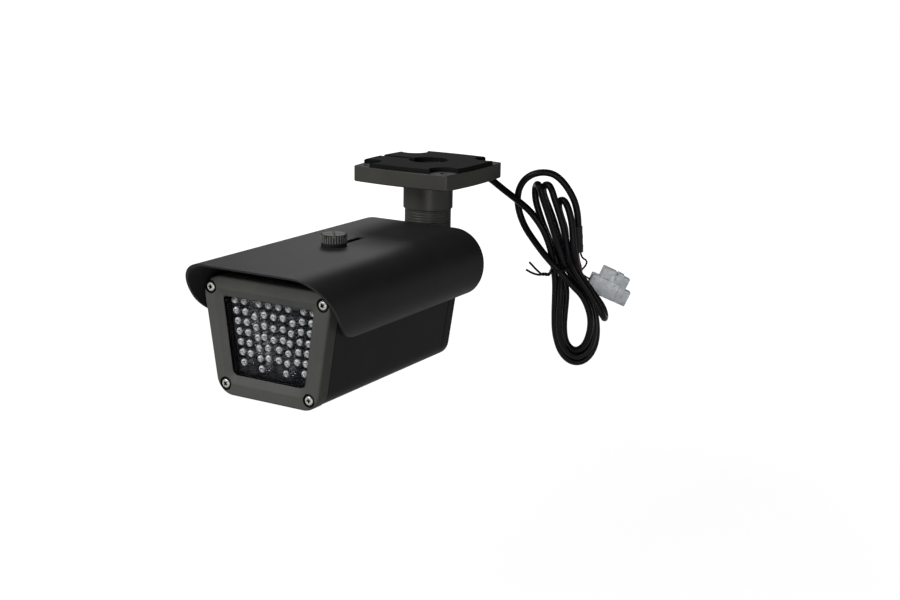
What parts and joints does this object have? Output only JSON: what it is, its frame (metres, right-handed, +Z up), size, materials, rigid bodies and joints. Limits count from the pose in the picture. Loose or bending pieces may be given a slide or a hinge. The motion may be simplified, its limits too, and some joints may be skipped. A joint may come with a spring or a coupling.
{
  "type": "infrared illuminator",
  "caption": "Box-shaped infrared lamp with a sliding sun hood, hung from a square ceiling plate on a swivel stem and tilt joint, with its cord tied in a hank.",
  "frame": {"origin": "centre of the base plate's mounting face, on the swivel axis", "axes": "+Z up into the ceiling, the lamp's face looks along -Y at rest, +X is the tilt axis"},
  "size_m": [0.148, 0.306, 0.1462],
  "materials": {
    "bracket_paint": "satin black powder coat on die-cast aluminium, faint grain",
    "housing_paint": "satin black powder coat on extruded aluminium",
    "bezel_paint": "satin charcoal powder coat on die-cast aluminium, lighter along worn edges",
    "hood_paint": "fine-textured charcoal powder coat on bent sheet",
    "gasket_rubber": "matt black rubber",
    "stainless": "stainless fasteners",
    "black_steel": "blackened steel",
    "knob_black": "black anodised and knurled",
    "window_glass": "clear flat glass",
    "frame_plastic": "matt black moulding",
    "board_black": "circuit board under dark solder mask",
    "diode_clear": "clear epoxy",
    "sensor_face": "light-dependent resistor under clear lacquer",
    "brass_pillar": "nickelled brass",
    "ferrite": "ferrite core",
    "capacitor_can": "sleeved electrolytic can",
    "sink_aluminium": "extruded aluminium",
    "package_black": "moulded semiconductor package",
    "terminal_green": "moulded terminal block",
    "cord_jacket": "glossy black PVC jacket",
    "sleeve_black": "heat-shrink sleeve",
    "wire_red": "red PVC insulation",
    "wire_black": "black PVC insulation",
    "plug_nylon": "translucent grey nylon",
    "tie_black": "plastic-covered wire"
  },
  "bodies": {
    "base": {"base_plate": "bracket_paint", "base_gasket": "gasket_rubber", "pan_lock_screw": "black_steel", "cable_grommet": "gasket_rubber", "inner_cord": "cord_jacket", "cord_lead": "cord_jacket", "cord_bundle": "cord_jacket", "cord_sleeve": "sleeve_black", "red_wire": "wire_red", "black_wire": "wire_black", "plug": "plug_nylon", "twist_tie": "tie_black"},
    "stem": {"swivel_stem": "bracket_paint", "stem_washer": "stainless", "stem_nut": "stainless", "tilt_bolt": "stainless", "tilt_nut": "stainless", "tilt_washers": "stainless"},
    "housing": {"tilt_arm": "bracket_paint", "arm_screws": "stainless", "rear_cover": "bezel_paint", "rear_gasket": "gasket_rubber", "rear_screws": "stainless", "housing_shell": "housing_paint", "front_gasket": "gasket_rubber", "front_bezel": "bezel_paint", "bezel_screws": "stainless", "window": "window_glass", "window_frame": "frame_plastic", "lamp_board": "board_black", "infrared_diodes": "diode_clear", "light_sensor": "sensor_face", "board_pillars": "brass_pillar", "driver_board": "board_black", "board_screws": "stainless", "inductor": "ferrite", "capacitors": "capacitor_can", "regulator": "package_black", "heat_sink": "sink_aluminium", "terminal_block": "terminal_green", "supply_lead": "cord_jacket", "hood_post": "black_steel"},
    "hood": {"hood": "hood_paint"},
    "clamp": {"clamp_ring": "knob_black"},
    "knob": {"hood_knob": "knob_black"}
  },
  "joints": [
    {"name": "pan", "type": "hinge", "parent": "base", "child": "stem", "pos_m": [0, 0, -0.02], "axis": [0, 0, 1], "range_deg": [-90, 90]},
    {"name": "tilt", "type": "hinge", "parent": "stem", "child": "housing", "pos_m": [0, 0, -0.072], "axis": [1, 0, 0], "range_deg": [0, 90]},
    {"name": "hood_slide", "type": "slide", "parent": "housing", "child": "hood", "axis": [0, -1, 0], "range_m": [0, 0.028]},
    {"name": "knob_lift", "type": "slide", "parent": "housing", "child": "clamp", "axis": [0, 0, 1], "range_m": [0, 0.0015]},
    {"name": "knob_turn", "type": "hinge", "parent": "clamp", "child": "knob", "pos_m": [0, -0.105, -0.031], "axis": [0, 0, 1], "range_deg": [0, 720]}
  ],
  "couplings": [
    {"joint": "knob_lift", "follows": "knob_turn", "m_per_rad": 0.00011141}
  ]
}
